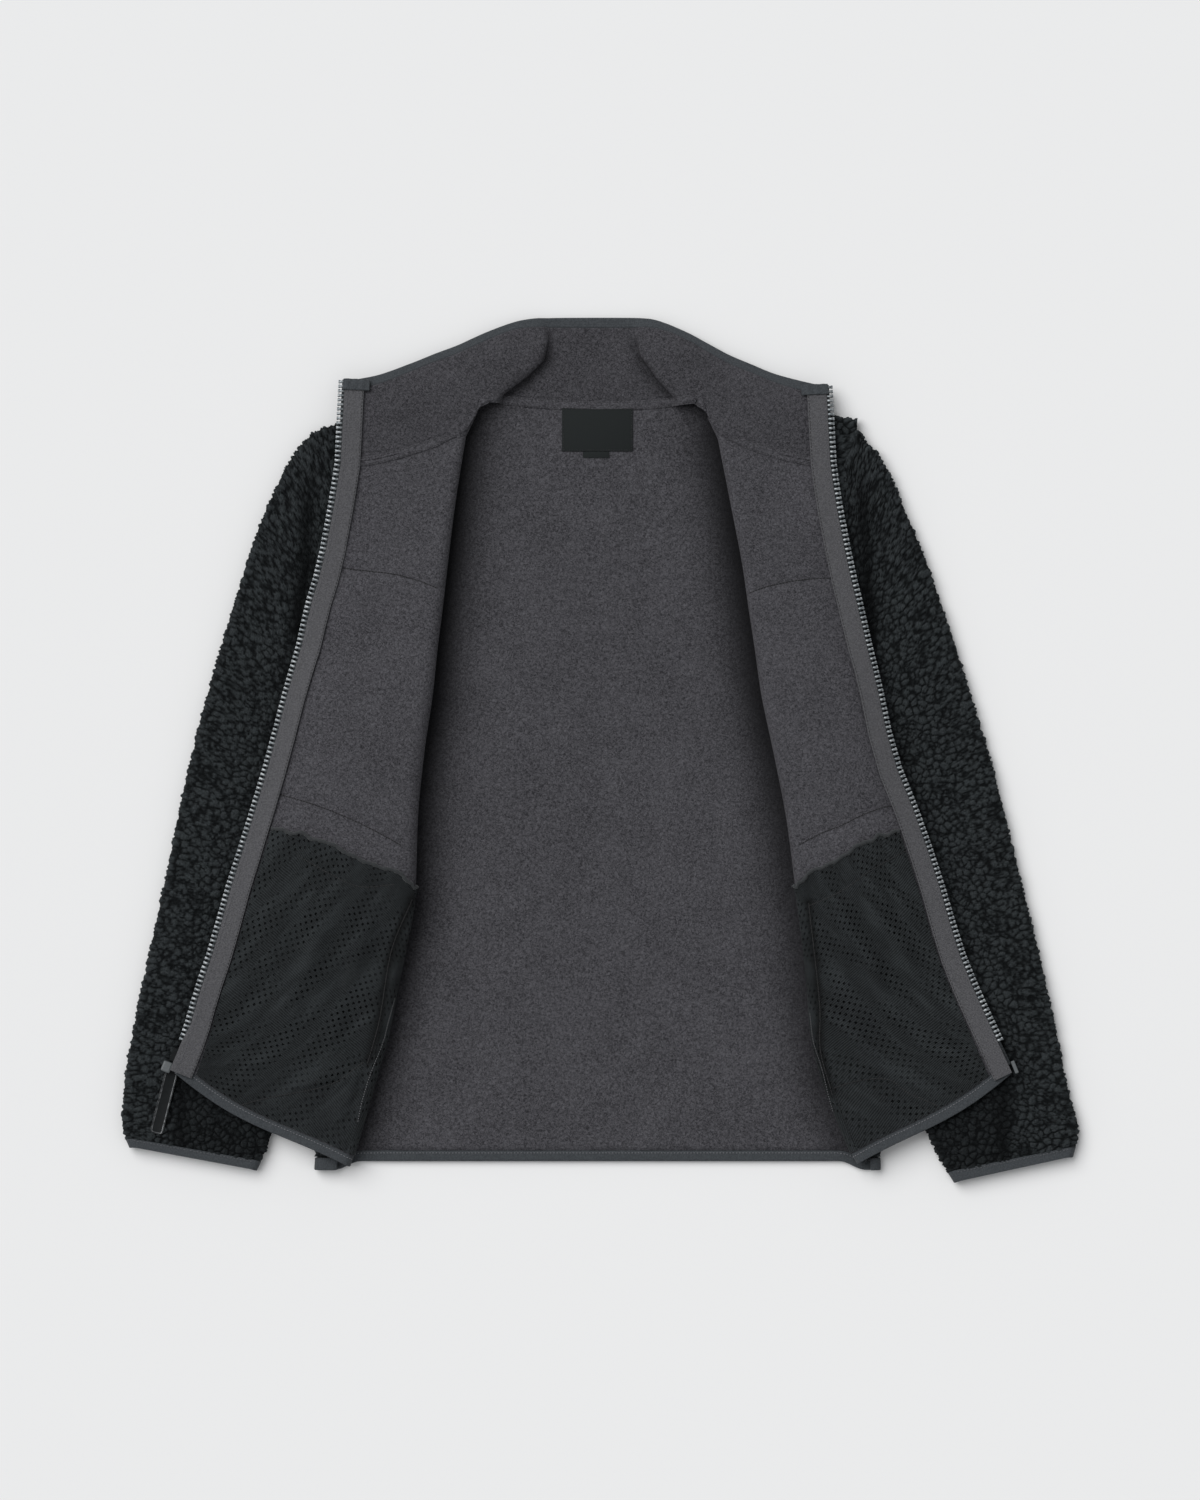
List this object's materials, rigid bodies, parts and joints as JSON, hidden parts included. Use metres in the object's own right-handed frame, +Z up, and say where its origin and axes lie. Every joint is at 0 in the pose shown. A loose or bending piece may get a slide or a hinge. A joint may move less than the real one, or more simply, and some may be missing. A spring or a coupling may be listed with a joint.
{
  "type": "fleece jacket",
  "caption": "Full-zip sherpa fleece jacket laid on its back, fronts turned open over the sleeves, stand collar spread flat.",
  "frame": {"origin": "middle of the jacket's footprint on the surface it lies on", "axes": "+Y towards the neck, +Z up off the surface, +X towards the wearer's left side"},
  "size_m": [0.8787, 0.7952, 0.0386],
  "materials": {
    "sherpa": "curly sherpa pile outside, smooth grey fleece inside, one bonded cloth",
    "binding": "smooth stretch binding",
    "mesh": "knitted pocket mesh, two layers",
    "tape": "woven zip tape",
    "facing": "twill strip over the zip tape",
    "label": "woven label, left blank",
    "hardware": "satin dark paint",
    "grey_hardware": "moulded, satin"
  },
  "bodies": {
    "jacket": {"back": "sherpa", "hem_binding_back": "binding", "collar": "sherpa", "collar_binding": "binding", "front_right": "sherpa", "front_left": "sherpa", "hem_binding_right": "binding", "hem_binding_left": "binding", "sleeve_right": "sherpa", "sleeve_left": "sherpa", "cuff_binding_right": "binding", "cuff_binding_left": "binding", "pocket_bag_right": "mesh", "pocket_bag_left": "mesh", "zip_tape_right": "tape", "zip_tape_left": "tape", "zip_facing_right": "facing", "zip_facing_left": "facing", "neck_label": "label", "size_tag": "label", "zip_slider": "hardware", "zip_box": "grey_hardware", "zip_pin": "grey_hardware"},
    "pull": {"zip_pull": "hardware"}
  },
  "joints": [
    {"name": "pull_hinge", "type": "hinge", "parent": "jacket", "child": "pull", "pos_m": [-0.3892, -0.28, 0.0165], "axis": [-0.969, 0.247, 0], "range_deg": [0, 3]}
  ]
}
